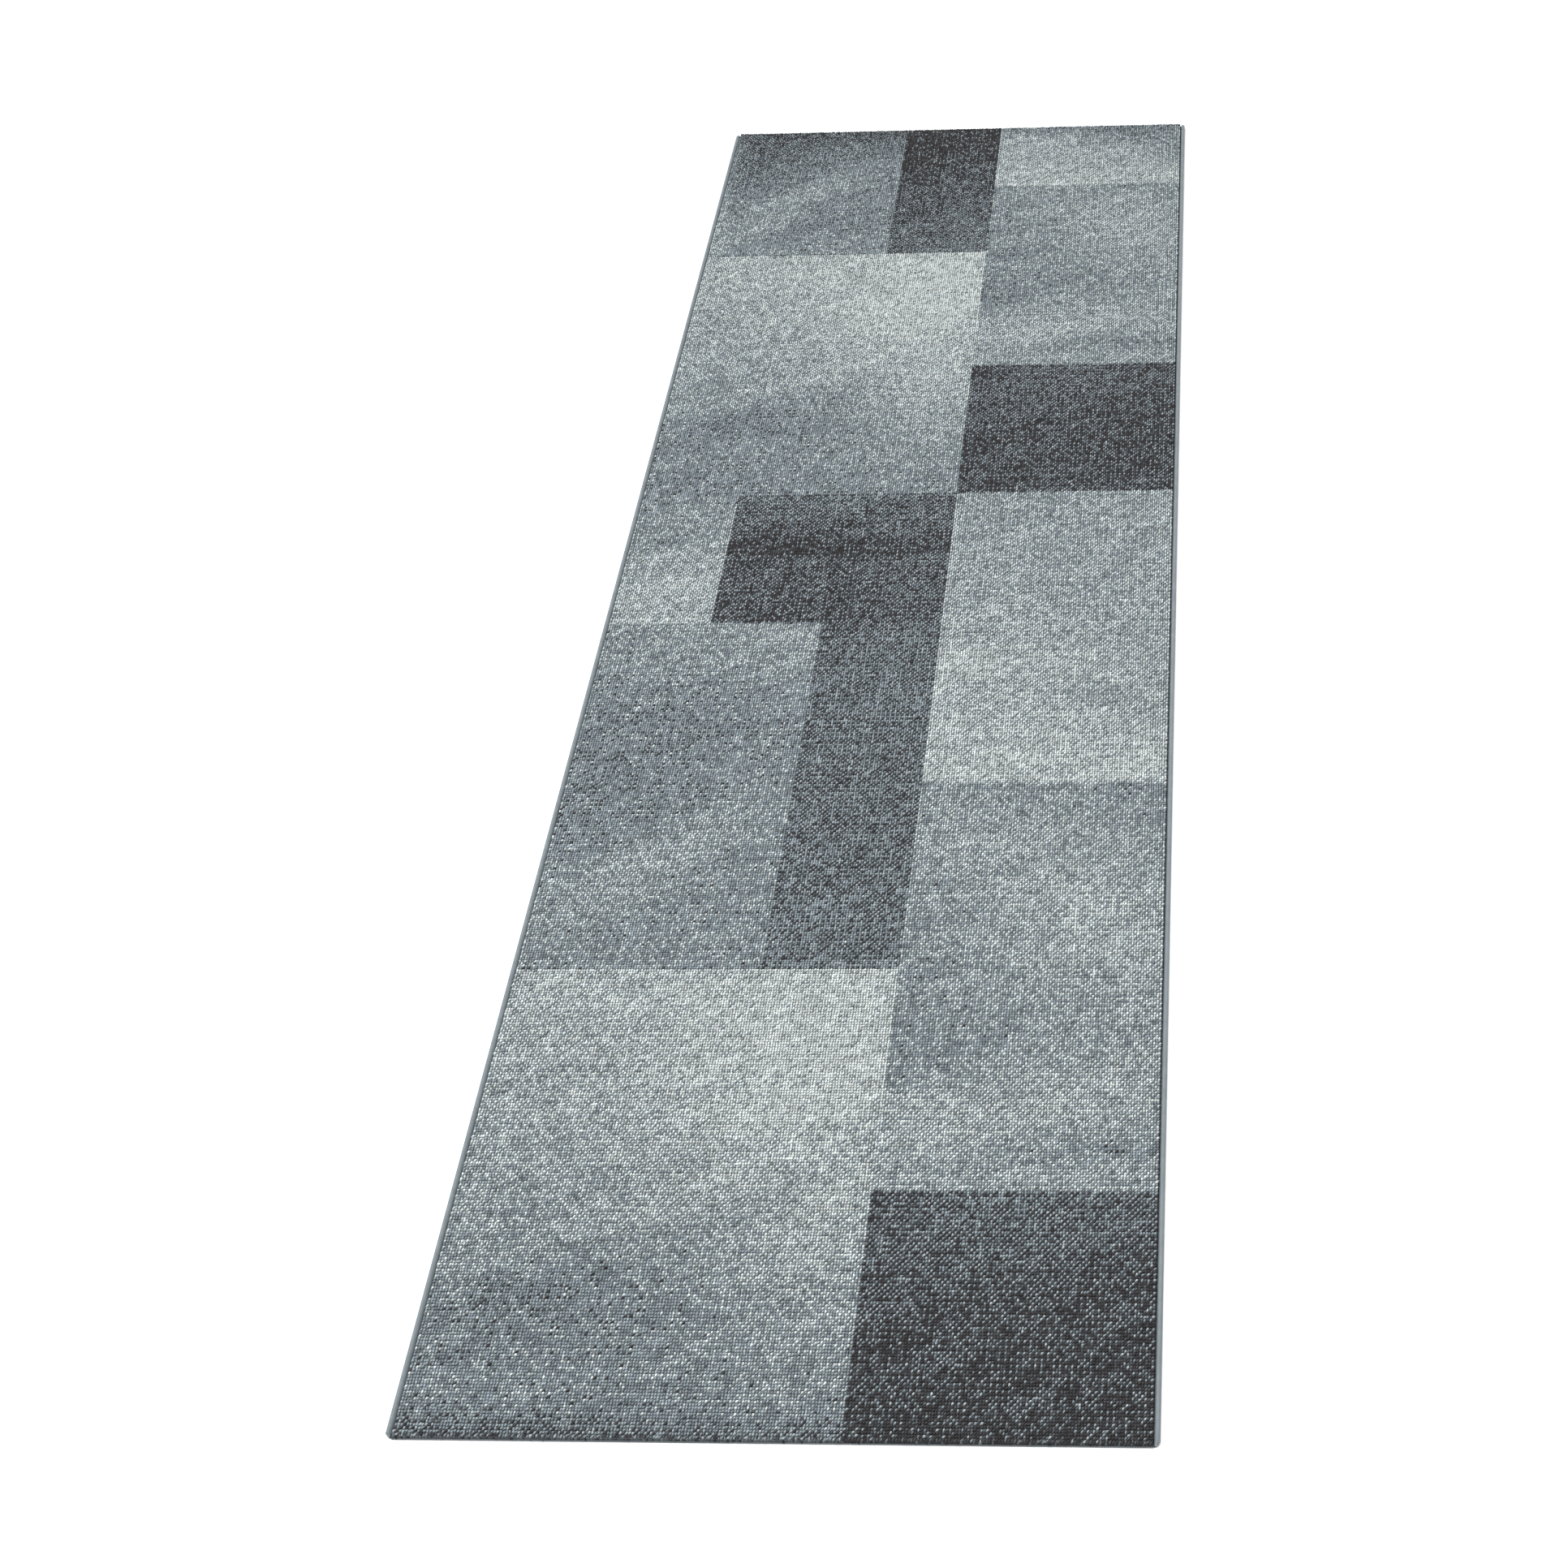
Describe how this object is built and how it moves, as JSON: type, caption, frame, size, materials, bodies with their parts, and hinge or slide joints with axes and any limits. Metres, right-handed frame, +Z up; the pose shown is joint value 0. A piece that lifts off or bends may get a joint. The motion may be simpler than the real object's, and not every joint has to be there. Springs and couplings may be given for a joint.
{
  "type": "runner rug",
  "caption": "Long low-pile runner rug in greys, with a pattern of colour blocks, serged long sides and hemmed short ends.",
  "frame": {"origin": "middle of the underside, on the floor", "axes": "+X across the runner, +Y along it from the near end to the far end, +Z up through the pile"},
  "size_m": [0.8, 3, 0.009],
  "materials": {
    "silver_pile": "matt heat-set pile yarn, mostly silver grey",
    "fade_pile": "matt heat-set pile yarn, fading from silver to mid grey",
    "grey_pile": "matt heat-set pile yarn, mixed mid greys",
    "slate_pile": "matt heat-set pile yarn, mostly dark grey",
    "charcoal_pile": "matt heat-set pile yarn, mostly charcoal",
    "serging_yarn": "smooth blue-grey overlocking yarn with a soft sheen",
    "filler_cord": "matt twisted cotton cord",
    "ground_weave": "matt jute and polyester weave",
    "latex_coat": "matt latex soaked into the weave",
    "hem_weave": "matt plain-woven band",
    "sewing_thread": "smooth polyester thread"
  },
  "bodies": {
    "root": {"near_right_charcoal_pile": "charcoal_pile", "near_left_fade_pile": "fade_pile", "near_right_grey_pile": "grey_pile", "middle_left_grey_pile": "grey_pile", "middle_centre_slate_pile": "slate_pile", "middle_right_silver_pile": "silver_pile", "middle_left_silver_pile": "silver_pile", "middle_charcoal_pile": "charcoal_pile", "far_left_fade_pile": "fade_pile", "far_right_charcoal_pile": "charcoal_pile", "far_right_grey_pile": "grey_pile", "far_left_grey_pile": "grey_pile", "far_centre_slate_pile": "slate_pile", "far_right_silver_pile": "silver_pile", "ground_cloth": "ground_weave", "back_coat": "latex_coat", "left_serged_edge": "serging_yarn", "right_serged_edge": "serging_yarn", "left_filler_cord": "filler_cord", "right_filler_cord": "filler_cord", "near_end_hem": "hem_weave", "far_end_hem": "hem_weave", "near_hem_stitches": "sewing_thread", "far_hem_stitches": "sewing_thread"}
  },
  "joints": []
}
